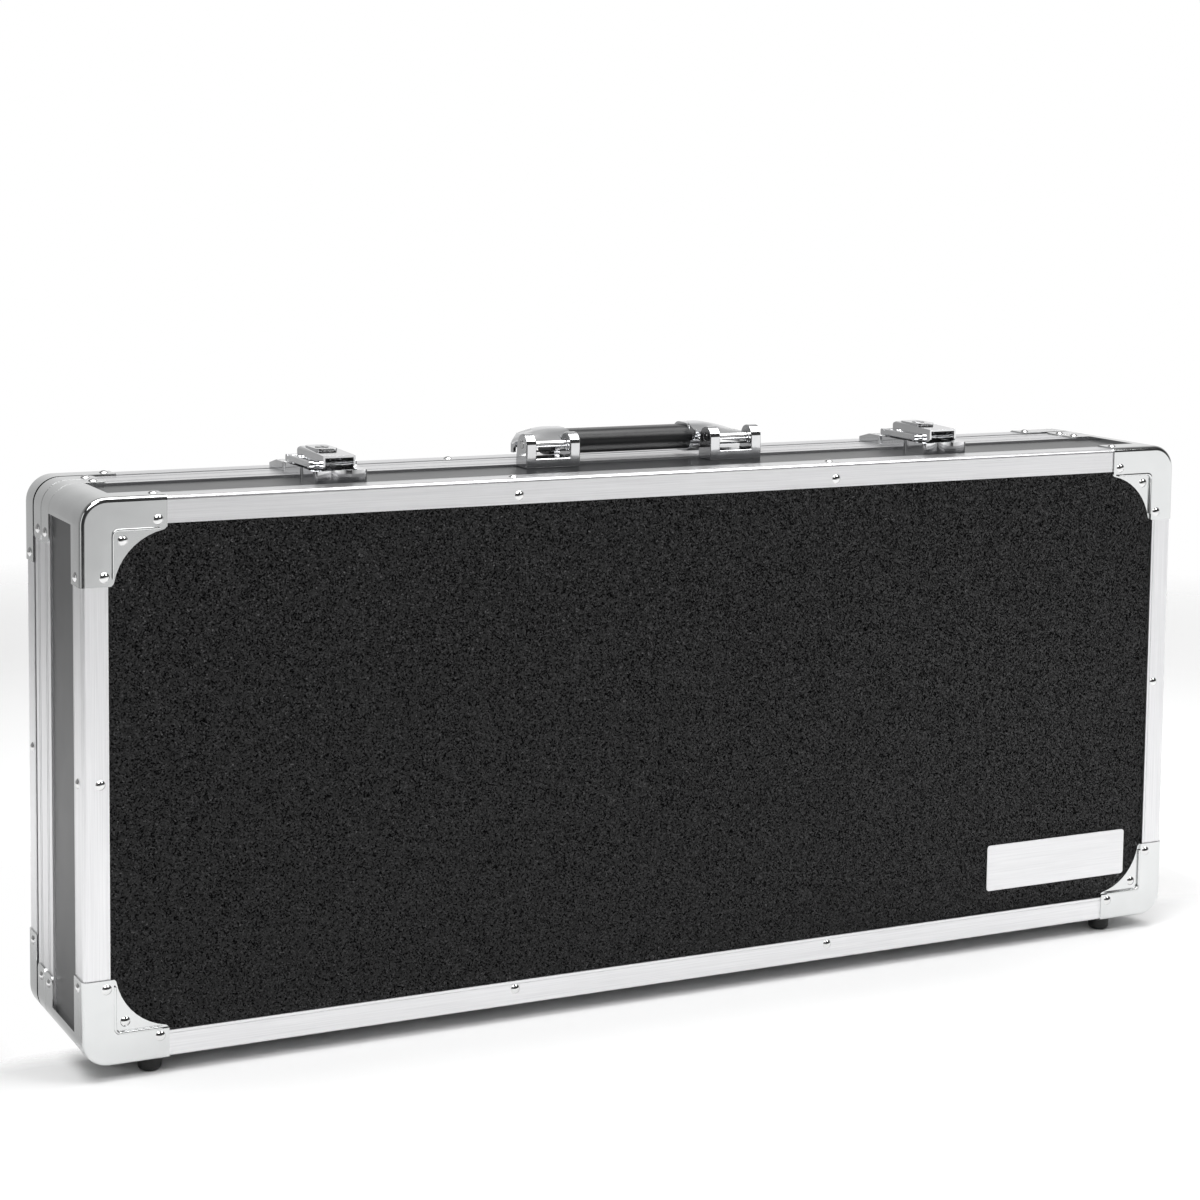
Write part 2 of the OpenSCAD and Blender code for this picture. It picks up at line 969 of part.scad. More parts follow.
// Plan of a handle's end, drawn as (x, depth) from the middle of the case: it leads
// from between the ears out to the bracket's outer side and in to the grip.
module end_plan(inset) {
    eye_half = window_w / 2 - eye_side - inset;
    outer = bracket_mid + bracket_w / 2 - inset;
    inner = grip_l / 2 - end_lap + inset;
    inner_front = grip_l / 2 - end_lap_front + inset;
    neck = bracket_y + bracket_d + 1 + inset;
    back = grip_y + grip_w / 2 + end_t - inset;
    polygon([[bracket_mid - eye_half, pin_y], [bracket_mid + eye_half, pin_y],
        [bracket_mid + eye_half, neck], [outer, neck], [outer, neck + end_side_l],
        [outer - end_slope, back], [inner, back], [inner_front, grip_y - grip_w / 2],
        [inner_front, neck], [bracket_mid - eye_half, neck]]);
}

// Side outline of a handle's end, drawn as (depth, outwards) from the pin.
module end_side(inset) {
    top = grip_z + grip_h / 2 + end_t + 0.1 - pin_z - inset;
    back = grip_back + grip_w / 2 + end_t - inset;
    polygon([[0, eye_r - inset], [grip_back - 6, top], [grip_back + 4, top],
        [back - 2, top - 4], [back, top - 9], [back, grip_z - pin_z - 3],
        [ear_r + 5, grip_z - pin_z - 1], [ear_r + 5, eye_r - end_t], [0, eye_r - end_t]]);
}

module end_shell() {
    translate([bracket_mid, pin_y, pin_z])
        along(window_w - 2 * eye_side)
            circle(eye_r);
    intersection() {
        linear_extrude(3 * pin_z)
            end_plan(0);
        translate([bracket_mid, pin_y, pin_z])
            along(2 * bracket_mid)
                end_side(0);
    }
}

module end_hollow() {
    intersection() {
        translate([0, 0, -eps])
            linear_extrude(3 * pin_z)
                end_plan(end_t);
        translate([bracket_mid, pin_y, pin_z])
            along(2 * bracket_mid)
                difference() {
                    end_side(end_t);
                    circle(eye_r + eps);
                }
    }
}

module handle_end(side) {
    color("#c9cbcd")
        on_side(0)
            mirror([side < 0 ? 1 : 0, 0, 0])
                difference() {
                    union() {
                        difference() {
                            end_shell();
                            end_hollow();
                        }
                        translate([grip_l / 2 - end_lap_front + collar_w / 2, grip_y, grip_z])
                            along(collar_w)
                                grip_section(end_t);
                    }
                    translate([bracket_mid, pin_y, pin_z])
                        along(bracket_w)
                            circle(pin_r + pin_gap);
                    translate([0, grip_y, grip_z])
                        along(grip_l + 0.2)
                            grip_section(0.1);
                }
}

// ---- latches ----

// Puts a piece on a latch: x across it, y from the front of its base, z above the wall.
module at_latch(side) {
    on_side(0)
        translate([side * latch_x, base_y, 0])
            children();
}

module cross_pin(y, z, r, half) {
    translate([0, y, z])
        along(2 * half)
            circle(r);
}

module latch_base(side) {
    pivot_ear_r = 2.6;
    color("#cfd1d3")
        at_latch(side)
            difference() {
                union() {
                    difference() {
                        union() {
                            translate([0, base_l / 2, 0])
                                linear_extrude(base_h)
                                    rounded(base_w, base_l, base_r);
                            translate([0, base_foot_l / 2, -rail_t])
                                linear_extrude(base_h)
                                    rounded(base_w, base_foot_l, base_r);
                        }
                        left_and_right(base_w / 2 + scallop_r - scoop_in)
                            translate([0, scallop_d, -2 * rail_t])
                                cylinder(r = scallop_r, h = 2 * base_h);
                        translate([0, scoop_in - scoop_front_r, -2 * rail_t])
                            cylinder(r = scoop_front_r, h = 2 * base_h, $fn = fine);
                        translate([-trough_half, trough_d, trough_floor])
                            cube([2 * trough_half, base_l, base_h]);
                    }
                    left_and_right(trough_half + pivot_ear_t / 2)
                        translate([0, pivot_d, pivot_z])
                            along(pivot_ear_t) {
                                circle(pivot_ear_r);
                                translate([-pivot_ear_r, -pivot_z + eps])
                                    square([2 * pivot_ear_r, pivot_z]);
                            }
                }
                cross_pin(pivot_d, pivot_z, latch_pin_r + shank_gap, base_w);
            }
}

module latch_pivot_pins() {
    color("#e4e5e6")
        for (side = [-1, 1])
            at_latch(side)
                cross_pin(pivot_d, pivot_z, latch_pin_r, trough_half + pivot_ear_t);
}

// Side outline of the lever, drawn as (y, z).
module lever_outline() {
    cheek_z = base_h + 0.4;
    cheek_r = 3;
    tail = [1.4, 1.1];                        // slope over the lever's back end
    polygon([[lever_front_d, cheek_z + 1.5], [lever_front_d, lever_front_z],
        [lever_back_d - tail[0], lever_top(lever_back_d - tail[0])],
        [lever_back_d, lever_back_z - tail[1]], [lever_back_d, pivot_z + 1.4],
        [pivot_d + cheek_r, pivot_z], [pivot_d, pivot_z], [pivot_d - 4, cheek_z],
        [lever_front_d + 1.5, cheek_z]]);
    translate([pivot_d, pivot_z])
        circle(cheek_r);
}

function lever_top(y) = lever_front_z
    + (lever_back_z - lever_front_z) * (y - lever_front_d) / (lever_back_d - lever_front_d);

// What fills the lever's channel, open to the front and below.
module lever_channel() {
    polygon([[lever_front_d - 1, 0], [lever_front_d - 1, lever_top(lever_front_d - 1) - lever_t],
        [lever_back_d - lever_t, lever_top(lever_back_d - lever_t) - lever_t],
        [lever_back_d - lever_t, 0]]);
}

// Keeps what lies within a rounded bar along y.
module within_bar(half, top, r) {
    translate([0, lever_back_d + 1, 0])
        rotate([90, 0, 0])
            linear_extrude(lever_back_d + 1)
                intersection() {
                    rounded(2 * half, 2 * top, r);
                    translate([-half, 0])
                        square([2 * half, top]);
                }
}

module latch_lever(side) {
    pad_l = 22;
    pad_half = 6.4;
    color("#c9cbcd")
        at_latch(side)
            difference() {
                union() {
                    intersection() {
                        along(2 * lever_half)
                            lever_outline();
                        within_bar(lever_half, lever_back_z, 2.4);
                    }
                    translate([0, lock_d + 1, lever_top(lock_d) - lever_t])
                        linear_extrude(lever_t + 1)
                            rounded(2 * pad_half, pad_l, 3);
                }
                intersection() {
                    along(2 * lever_half - 2 * lever_t)
                        lever_channel();
                    within_bar(lever_half - lever_t, lever_back_z, 1);
                }
                translate([0, lock_d, 0])
                    cylinder(r = lock_r, h = 2 * lever_back_z);
                cross_pin(pivot_d, pivot_z, latch_pin_r + pin_gap, base_w);
                cross_pin(link_pin_d, link_pin_z, latch_pin_r + shank_gap, base_w);
            }
}

module latch_link_pin(side) {
    color("#e4e5e6")
        at_latch(side)
            cross_pin(link_pin_d, link_pin_z, latch_pin_r, link_out);
}

// The link's loop: two arms, a bar behind the base and a tongue over the catch.
module latch_link(side) {
    bar_l = 4;
    tongue_half = 7;
    tongue_l = 5.4;
    arm_low = link_pin_z - link_arm_h / 2;
    bar_y = base_l - 0.4;
    color("#c9cbcd")
        at_latch(side)
            difference() {
                union() {
                    left_and_right(link_in + link_arm_t / 2) {
                        translate([0, bar_y + bar_l / 2, link_pin_z])
                            rotate([90, 0, 0])
                                linear_extrude(bar_y + bar_l / 2 - link_pin_d)
                                    rounded(link_arm_t, link_arm_h, 1.2);
                        translate([0, link_pin_d, link_pin_z])
                            along(link_arm_t)
                                circle(link_arm_h / 2);
                    }
                    translate([0, bar_y + bar_l / 2, link_pin_z])
                        along(2 * link_out)
                            rounded(bar_l, link_arm_h, 1.2);
                    translate([-tongue_half, bar_y + bar_l - 1, arm_low])
                        cube([2 * tongue_half, tongue_l + 1, 1.8]);
                }
                cross_pin(link_pin_d, link_pin_z, latch_pin_r + pin_gap, base_w);
            }
}

module latch_lock(side) {
    low = 7;
    flange_r = lock_r + 1;
    flange_top = lever_top(lock_d) - lever_t - 0.4;
    head = lever_top(lock_d) + 1.3;
    color("#b9bbbd")
        at_latch(side)
            translate([0, lock_d, 0])
                difference() {
                    union() {
                        translate([0, 0, low])
                            cylinder(r = lock_r - shank_gap, h = head - low);
                        translate([0, 0, flange_top - 2])
                            cylinder(r = flange_r, h = 2);
                    }
                    translate([-slot_w / 2, 1 - lock_r, head - 2.4])
                        cube([slot_w, 2 * lock_r - 2, 3]);
                }
}

module latch_catches() {
    side_y = catch_y - base_y;
    color("#cfd1d3")
        for (side = [-1, 1])
            at_latch(side)
                difference() {
                    intersection() {
                        along(base_w)
                            polygon([[side_y, 0], [side_y, base_h], [side_y + catch_l / 2, base_h],
                                [side_y + catch_l, base_h - 3.2], [side_y + catch_l, 0]]);
                        translate([0, side_y + catch_l / 2, 0])
                            linear_extrude(base_h)
                                rounded(base_w, catch_l, base_r);
                    }
                    translate([-catch_recess_w / 2, side_y + 10, base_h - 1.6])
                        cube([catch_recess_w, catch_recess_l, base_h]);
                }
}

// ---- hinges ----

// A leaf on the case's underside with some of its five knuckles.
module hinge_leaf(way, own) {
    knuckle_w = (hinge_w - 4 * knuckle_side) / 5;
    clear = knuckle_r + 0.3;
    on_side(2)
        left_and_right(hinge_x)
            translate([0, lid_d, 0])
                difference() {
                    union() {
                        translate([-hinge_w / 2, way > 0 ? clear : -leaf_l, 0])
                            cube([hinge_w, leaf_l - clear, leaf_t]);
                        for (k = own)
                            translate([(k - 2) * (knuckle_w + knuckle_side), 0, 0]) {
                                translate([0, 0, hinge_z])
                                    along(knuckle_w)
                                        circle(knuckle_r);
                                translate([-knuckle_w / 2, way > 0 ? 1 : -clear - eps, 0])
                                    cube([knuckle_w, clear - 1 + eps, leaf_t]);
                            }
                    }
                    translate([0, 0, hinge_z])
                        along(hinge_w + 1)
                            circle(hinge_pin_r + hinge_gap);
                }
}

module hinge_lid_leaves() {
    color("#c9cbcd")
        difference() {
            hinge_leaf(-1, [0, 2, 4]);
            leaf_rivets(-1)
                rivet_bore();
        }
}

module hinge_tray_leaves() {
    color("#c9cbcd")
        difference() {
            hinge_leaf(1, [1, 3]);
            leaf_rivets(1)
                rivet_bore();
        }
}

module hinge_pins() {
    color("#e4e5e6")
        on_side(2)
            left_and_right(hinge_x)
                translate([0, lid_d, hinge_z])
                    along(hinge_w)
                        circle(hinge_pin_r);
}

// ---- feet ----

module feet() {
    on_side(2)
        left_and_right(foot_x)
            translate([0, foot_y, plate_t])
                rotate_extrude()
                    difference() {
                        square([foot_r, foot_h - plate_t]);
                        translate([foot_r, foot_h - plate_t])
                            corner_waste(foot_round);
                    }
}

module lid_feet() {
    color("#1a1a1b")
        feet();
}

module tray_feet() {
    color("#1a1a1b")
        from_back()
            feet();
}

lid_panel();
lid_wall(0);  // lid_wall_top
lid_wall(1);  // lid_wall_right
lid_wall(2);  // lid_wall_bottom
lid_wall(3);  // lid_wall_left
lid_edge_rail(0);  // lid_edge_rail_top
lid_edge_rail(1);  // lid_edge_rail_right
lid_edge_rail(2);  // lid_edge_rail_bottom
lid_edge_rail(3);  // lid_edge_rail_left
lid_closing_rail(0);  // lid_closing_rail_top
lid_closing_rail(1);  // lid_closing_rail_right
lid_closing_rail(2);  // lid_closing_rail_bottom
lid_closing_rail(3);  // lid_closing_rail_left
lid_corners();
lid_corner_clips();
lid_rivets();
lid_lining();
egg_crate_foam();
label_plate();
handle_bracket(-1);  // handle_bracket_left
handle_bracket(1);  // handle_bracket_right
handle_pins();
handle_grip();
handle_end(-1);  // handle_end_left
handle_end(1);  // handle_end_right
latch_base(-1);  // latch_base_left
latch_base(1);  // latch_base_right
latch_pivot_pins();
latch_lever(-1);  // latch_lever_left
latch_lever(1);  // latch_lever_right
latch_link_pin(-1);  // latch_link_pin_left
latch_link_pin(1);  // latch_link_pin_right
latch_link(-1);  // latch_link_left
latch_link(1);  // latch_link_right
latch_lock(-1);  // latch_lock_left
latch_lock(1);  // latch_lock_right
hinge_lid_leaves();
hinge_pins();
lid_feet();
tray_panel();
tray_wall(0);  // tray_wall_top
tray_wall(1);  // tray_wall_right
tray_wall(2);  // tray_wall_bottom
tray_wall(3);  // tray_wall_left
tray_edge_rail(0);  // tray_edge_rail_top
tray_edge_rail(1);  // tray_edge_rail_right
tray_edge_rail(2);  // tray_edge_rail_bottom
tray_edge_rail(3);  // tray_edge_rail_left
tray_closing_rail(0);  // tray_closing_rail_top
tray_closing_rail(1);  // tray_closing_rail_right
tray_closing_rail(2);  // tray_closing_rail_bottom
tray_closing_rail(3);  // tray_closing_rail_left
tray_corners();
tray_corner_clips();
tray_rivets();
tray_lining();
latch_catches();
hinge_tray_leaves();
tray_feet();
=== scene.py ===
import bpy, bmesh, json, math
from mathutils import Matrix, Vector

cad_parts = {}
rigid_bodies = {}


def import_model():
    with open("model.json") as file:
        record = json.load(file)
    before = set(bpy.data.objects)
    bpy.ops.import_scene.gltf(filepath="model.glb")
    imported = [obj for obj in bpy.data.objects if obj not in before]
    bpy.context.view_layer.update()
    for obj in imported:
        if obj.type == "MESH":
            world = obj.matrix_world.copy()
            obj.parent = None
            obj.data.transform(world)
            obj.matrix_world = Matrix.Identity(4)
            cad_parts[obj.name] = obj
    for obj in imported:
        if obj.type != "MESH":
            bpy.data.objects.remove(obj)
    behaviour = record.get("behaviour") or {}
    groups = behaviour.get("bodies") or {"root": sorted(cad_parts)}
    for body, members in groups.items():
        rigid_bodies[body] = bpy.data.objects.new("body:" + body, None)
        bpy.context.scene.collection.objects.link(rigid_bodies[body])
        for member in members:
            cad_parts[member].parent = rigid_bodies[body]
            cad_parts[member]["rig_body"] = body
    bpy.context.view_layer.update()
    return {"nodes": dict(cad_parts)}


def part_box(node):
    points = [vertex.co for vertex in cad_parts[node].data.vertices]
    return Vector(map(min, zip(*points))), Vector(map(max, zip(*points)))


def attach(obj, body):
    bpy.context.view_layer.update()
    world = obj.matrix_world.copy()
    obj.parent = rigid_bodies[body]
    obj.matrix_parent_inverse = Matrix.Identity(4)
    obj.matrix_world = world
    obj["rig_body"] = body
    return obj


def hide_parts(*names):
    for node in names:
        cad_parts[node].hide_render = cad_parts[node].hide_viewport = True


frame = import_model()
nodes = frame["nodes"]
print("frame loaded:", len(nodes), "nodes")

# short ways to objects and meshes


def addObject(name, data):
    made = bpy.data.objects.new(name, data)
    bpy.context.scene.collection.objects.link(made)
    return made


def meshFrom(name, work):
    mesh = bpy.data.meshes.new(name)
    work.to_mesh(mesh)
    work.free()
    return mesh


def finishedMesh(piece):
    # the mesh of a curve, or of a piece with its modifiers worked out
    bpy.context.view_layer.update()
    shown = piece.evaluated_get(bpy.context.evaluated_depsgraph_get())
    return bpy.data.meshes.new_from_object(shown)


# camera, in metres; the optical axis is above the middle of the picture

cameraSet = {
    "place": (-0.71680, -1.38644, 0.49613),
    "right": (0.895579, -0.444753, 0.011581),
    "down": (-0.031524, -0.089401, -0.995497),
    "ahead": (0.443785, 0.891180, -0.094086),
    # in pixels of the picture
    "focal": 2626.49,
    "picture": 1200,
    "axisRow": 400,
    # in millimetres, then in metres
    "sensor": 36,
    "clip": (0.05, 60),
}


def makeCamera(c):
    data = bpy.data.cameras.new("camera")
    data.sensor_width = c["sensor"]
    data.lens = c["focal"] / c["picture"] * data.sensor_width
    data.shift_y = (c["axisRow"] - c["picture"] / 2) / c["picture"]
    data.clip_start, data.clip_end = c["clip"]
    camera = addObject("camera", data)
    right, down, ahead = (Vector(c[k]) for k in ("right", "down", "ahead"))
    turn = Matrix((right, -down, -ahead)).transposed()
    camera.matrix_world = Matrix.Translation(c["place"]) @ turn.to_4x4()
    bpy.context.scene.camera = camera


makeCamera(cameraSet)

# studio: four soft boxes, and a room that lights the case while the camera sees white there

studioSet = {
    "keyPlace": (-1.3, -1.7, 2.4), "keySize": (1.6, 1.2), "keyPower": 26,
    "topPlace": (0.0, -0.15, 2.3), "topSize": (2.6, 1.4), "topPower": 54,
    "sidePlace": (1.2, -1.3, 1.9), "sideSize": (0.9, 0.7), "sidePower": 13,
    "leftPlace": (-2.0, -0.5, 0.55), "leftSize": (0.6, 1.4), "leftPower": 2,
    "aim": (0, 0, 0.16),
    # brightness of the room: in front, of the table there, behind, and what its left side adds
    "frontGlow": 0.04, "tableGlow": (0.65, 1.15), "backGlow": 0.85, "leftGlow": -0.5,
    "overheadShare": 0.4,
    # where one part of the room passes into the next, as a share of the direction looked in
    "horizon": (-0.01, 0.04), "tableEnd": (-0.15, 0.15), "tableSpan": (0.25, 0.6),
    "leftSpan": (0.35, -0.45), "overhead": (0.3, 0.8), "behind": (-0.15, 0.35),
}


def makeSoftbox(name, place, size, power, aim):
    data = bpy.data.lights.new(name, "AREA")
    data.shape = "RECTANGLE"
    data.size, data.size_y = size
    data.energy = power
    light = addObject(name, data)
    light.location = place
    light.rotation_euler = (Vector(aim) - Vector(place)).to_track_quat("-Z", "Y").to_euler()


def addNode(tree, kind, inputs=None, **settings):
    node = tree.nodes.new("ShaderNode" + kind)
    for key, value in settings.items():
        setattr(node, key, value)
    for key, value in (inputs or {}).items():
        if isinstance(value, bpy.types.NodeSocket):
            tree.links.new(value, node.inputs[key])
        else:
            node.inputs[key].default_value = value
    return node


def makeWorld(s):
    world = bpy.data.worlds.new("studio")
    world.use_nodes = True
    bpy.context.scene.world = world
    tree = world.node_tree
    tree.nodes.clear()
    ways = addNode(tree, "SeparateXYZ", {0: addNode(tree, "TexCoord").outputs["Generated"]}).outputs

    def spread(value, span, low, high):
        return addNode(tree, "MapRange",
                       {0: value, 1: span[0], 2: span[1], 3: low, 4: high}).outputs[0]

    def times(a, b):
        return addNode(tree, "Math", {0: a, 1: b}, operation="MULTIPLY").outputs[0]

    # in front the room is dark over a pale table, which lies more to the right; behind it is pale
    table = times(spread(ways[2], s["horizon"], 1.0, 0.0), spread(ways[0], s["tableEnd"], 0.0, 1.0))
    front = addNode(tree, "Mix", {0: table, 2: s["frontGlow"],
                                  3: spread(ways[0], s["tableSpan"], *s["tableGlow"])}).outputs[0]
    left = spread(ways[0], s["leftSpan"], s["backGlow"], s["backGlow"] + s["leftGlow"])
    back = times(left, spread(ways[2], s["overhead"], 1.0, s["overheadShare"]))
    room = addNode(tree, "Mix", {0: spread(ways[1], s["behind"], 0.0, 1.0), 2: front, 3: back})
    seen = addNode(tree, "LightPath").outputs["Is Camera Ray"]
    glow = addNode(tree, "Mix", {0: seen, 2: room.outputs[0], 3: 1.0})
    light = addNode(tree, "Background", {1: glow.outputs[0]})
    light.inputs[0].default_value = (1, 1, 1, 1)
    tree.links.new(light.outputs[0], addNode(tree, "OutputWorld").inputs[0])


makeWorld(studioSet)
for part in ("key", "top", "side", "left"):
    makeSoftbox(part, studioSet[part + "Place"], studioSet[part + "Size"],
                studioSet[part + "Power"], studioSet["aim"])
bpy.context.scene.view_settings.view_transform = "Standard"

# shader groups: each puts out masks, heights or leans that change over the surface


def startGroup(name, inputs, outputs):
    tree = bpy.data.node_groups.new(name, "ShaderNodeTree")
    for label, value in inputs.items():
        kind = "NodeSocketVector" if isinstance(value, tuple) else "NodeSocketFloat"
        tree.interface.new_socket(label, in_out="INPUT", socket_type=kind).default_value = value
    for label in outputs:
        kind = "NodeSocketVector" if label == "Tilt" else "NodeSocketFloat"
        tree.interface.new_socket(label, in_out="OUTPUT", socket_type=kind)
    return tree, tree.nodes.new("NodeGroupInput").outputs, tree.nodes.new("NodeGroupOutput").inputs


def objectPlace(tree):
    return addNode(tree, "TexCoord").outputs["Object"]


def makeFleckGroup():
    # pebbled plastic: each pebble has its own tone and leans its own way; the few pale pebbles that
    # this tone leaves are painted glints
    tree, given, out = startGroup("grainAndPaintedGlints", {"Scale": 800.0, "Power": 3.0},
                                  ["Fleck", "Height", "Tilt"])
    pebble = addNode(tree, "TexVoronoi", {"Vector": objectPlace(tree), "Scale": given["Scale"]})
    parts = addNode(tree, "SeparateXYZ", {0: pebble.outputs["Color"]})
    # the random tone raised to a power leaves sparse pale pebbles: painted glints over a real
    # random tone
    toneAndPaintedGlint = addNode(tree, "Math", {0: parts.outputs[0], 1: given["Power"]}, operation="POWER")
    dome = addNode(tree, "Math", {0: 1.0, 1: pebble.outputs["Distance"]}, operation="SUBTRACT")
    lean = addNode(tree, "VectorMath", {0: pebble.outputs["Color"], 1: (0.5, 0.5, 0.5)},
                   operation="SUBTRACT")
    tree.links.new(toneAndPaintedGlint.outputs[0], out["Fleck"])
    tree.links.new(dome.outputs[0], out["Height"])
    tree.links.new(lean.outputs[0], out["Tilt"])


def makeDrawnGroup():
    # lines left by drawing or brushing; Stretch is small along the lines
    tree, given, out = startGroup("drawnLines", {"Stretch": (1.0, 1.0, 1.0), "Scale": 900.0},
                                  ["Line", "Height"])
    place = addNode(tree, "VectorMath", {0: objectPlace(tree), 1: given["Stretch"]},
                    operation="MULTIPLY")
    line = addNode(tree, "TexNoise", {"Vector": place.outputs[0], "Scale": given["Scale"],
                                      "Detail": 3.0, "Roughness": 0.65})
    spread = addNode(tree, "MapRange", {0: line.outputs[0], 1: 0.3, 2: 0.7})
    tree.links.new(spread.outputs[0], out["Line"])
    tree.links.new(line.outputs[0], out["Height"])


def makeSmudgeGroup():
    # faint handling marks and the slow waves of thin plated sheet
    tree, given, out = startGroup("handled", {"Size": 30.0, "Spread": 0.5}, ["Smudge", "Wave"])
    place = objectPlace(tree)
    cloud = addNode(tree, "TexNoise", {"Vector": place, "Scale": given["Size"], "Detail": 4.0,
                                       "Distortion": given["Spread"]})
    wave = addNode(tree, "TexNoise", {"Vector": place, "Scale": given["Size"], "Detail": 0.0})
    tree.links.new(cloud.outputs[0], out["Smudge"])
    tree.links.new(wave.outputs[0], out["Wave"])


def makeWeaveGroup():
    # plain weave seen as two crossed waves, with loose fibres over it
    tree, given, out = startGroup("clothWeave", {"Pitch": 4000.0, "Fibre": 1500.0},
                                  ["Thread", "Height"])
    place = objectPlace(tree)
    threads = [addNode(tree, "TexWave", {"Vector": place, "Scale": given["Pitch"],
                                         "Distortion": 0.6}, bands_direction=way)
               for way in ("X", "Z")]
    crossed = addNode(tree, "Math", {0: threads[0].outputs[1], 1: threads[1].outputs[1]},
                      operation="MULTIPLY")
    fibre = addNode(tree, "TexNoise", {"Vector": place, "Scale": given["Fibre"], "Detail": 4.0})
    height = addNode(tree, "Math", {0: crossed.outputs[0], 1: fibre.outputs[0]}, operation="ADD")
    tree.links.new(fibre.outputs[0], out["Thread"])
    tree.links.new(height.outputs[0], out["Height"])


for makeGroup in (makeFleckGroup, makeDrawnGroup, makeSmudgeGroup, makeWeaveGroup):
    makeGroup()

# finishes

markScale = {"flecked": 12.0, "drawn": 9.0}  # handling marks, in noise cells to the metre


def startMaterial(name):
    material = bpy.data.materials.new(name)
    material.use_nodes = True
    tree = material.node_tree
    tree.nodes.clear()
    shader = addNode(tree, "BsdfPrincipled")
    tree.links.new(shader.outputs[0], addNode(tree, "OutputMaterial").inputs[0])
    return material, tree, shader


def useGroup(tree, name, **inputs):
    node = tree.nodes.new("ShaderNodeGroup")
    node.node_tree = bpy.data.node_groups[name]
    for key, value in inputs.items():
        node.inputs[key].default_value = value
    return node.outputs


def tone(tree, shader, mask, low, high):
    # base colour between two tones
    mix = addNode(tree, "Mix", {0: mask, 6: low + (1,), 7: high + (1,)}, data_type="RGBA")
    tree.links.new(mix.outputs[2], shader.inputs["Base Color"])


def gloss(tree, shader, mask, low, high):
    spread = addNode(tree, "MapRange", {0: mask, 3: low, 4: high})
    tree.links.new(spread.outputs[0], shader.inputs["Roughness"])


def relief(tree, shader, height, depth, under=None):
    # depth in metres
    bump = addNode(tree, "Bump", {"Height": height, "Distance": depth, "Strength": 1.0})
    if under is not None:
        tree.links.new(under.outputs[0], bump.inputs["Normal"])
    tree.links.new(bump.outputs[0], shader.inputs["Normal"])
    return bump


def makeFlecked(name, f):
    material, tree, shader = startMaterial(name)
    grain = useGroup(tree, "grainAndPaintedGlints", Scale=f["scale"], Power=f["power"])
    hand = useGroup(tree, "handled", Size=markScale["flecked"])
    shader.inputs["Specular IOR Level"].default_value = f["shine"]
    # base colour: random pebble tone, whose sparse pale pebbles are painted glints
    tone(tree, shader, grain["Fleck"], f["dark"], f["pale"])
    gloss(tree, shader, hand["Smudge"], *f["gloss"])
    lean = (f["lean"],) * 3
    turned = addNode(tree, "VectorMath", {0: grain["Tilt"], 1: lean,
                                          2: addNode(tree, "NewGeometry").outputs["Normal"]},
                     operation="MULTIPLY_ADD")
    facet = addNode(tree, "VectorMath", {0: turned.outputs[0]}, operation="NORMALIZE")
    relief(tree, shader, grain["Height"], f["relief"], under=facet)
    return material


def makeSmooth(name, f, metal=0.0):
    material, tree, shader = startMaterial(name)
    shader.inputs["Metallic"].default_value = metal
    hand = useGroup(tree, "handled", Size=f["size"])
    tone(tree, shader, hand["Smudge"], f["dark"], f["pale"])
    gloss(tree, shader, hand["Smudge"], *f["gloss"])
    relief(tree, shader, hand["Wave"], f["relief"])
    return material


def makeDrawn(name, f):
    material, tree, shader = startMaterial(name)
    shader.inputs["Metallic"].default_value = f.get("metal", 1.0)
    lines = useGroup(tree, "drawnLines", Stretch=f["stretch"], Scale=f["scale"])
    hand = useGroup(tree, "handled", Size=markScale["drawn"])
    tone(tree, shader, lines["Line"], f["dark"], f["pale"])
    gloss(tree, shader, hand["Smudge"], *f["gloss"])
    relief(tree, shader, lines["Height"], f["relief"])
    return material


def makePlated(name, f):
    return makeSmooth(name, f, metal=1.0)


def makeCloth(name, f):
    material, tree, shader = startMaterial(name)
    cloth = useGroup(tree, "clothWeave", Pitch=f["pitch"], Fibre=f["fibre"])
    tone(tree, shader, cloth["Thread"], f["dark"], f["pale"])
    shader.inputs["Roughness"].default_value = 0.95
    shader.inputs["Sheen Weight"].default_value = f["sheen"]
    shader.inputs["Sheen Roughness"].default_value = 0.5
    relief(tree, shader, cloth["Height"], f["relief"])
    return material


# the panel's sparse pale pebbles are painted glints over its near-black random tone
blackPanel = makeFlecked("blackPanel", {
    "scale": 1350.0, "power": 4.0, "dark": (0.0006, 0.0006, 0.0007),
    "pale": (0.024, 0.024, 0.025), "gloss": (0.14, 0.19), "relief": 0.00005, "lean": 1.0,
    "shine": 0.22})
blackWall = makeSmooth("blackWall", {
    "size": 40.0, "dark": (0.014, 0.0148, 0.016), "pale": (0.021, 0.022, 0.024),
    "gloss": (0.27, 0.35), "relief": 0.00001})
railSet = {"scale": 1500.0, "dark": (0.74, 0.74, 0.75), "pale": (0.86, 0.86, 0.87),
           "gloss": (0.27, 0.35), "relief": 0.00003}
railAlong = makeDrawn("railAlong", {**railSet, "stretch": (0.01, 1.0, 1.0)})
railUp = makeDrawn("railUp", {**railSet, "stretch": (1.0, 1.0, 0.01)})
cornerChrome = makePlated("cornerChrome", {
    "size": 60.0, "dark": (0.66, 0.67, 0.67), "pale": (0.74, 0.75, 0.75),
    "gloss": (0.09, 0.15), "relief": 0.00012})
rivetSteel = makePlated("rivetSteel", {
    "size": 300.0, "dark": (0.66, 0.66, 0.66), "pale": (0.82, 0.82, 0.82),
    "gloss": (0.10, 0.2), "relief": 0.00005})
castChrome = makePlated("castChrome", {
    "size": 110.0, "dark": (0.74, 0.75, 0.76), "pale": (0.86, 0.86, 0.87),
    "gloss": (0.05, 0.12), "relief": 0.00010})
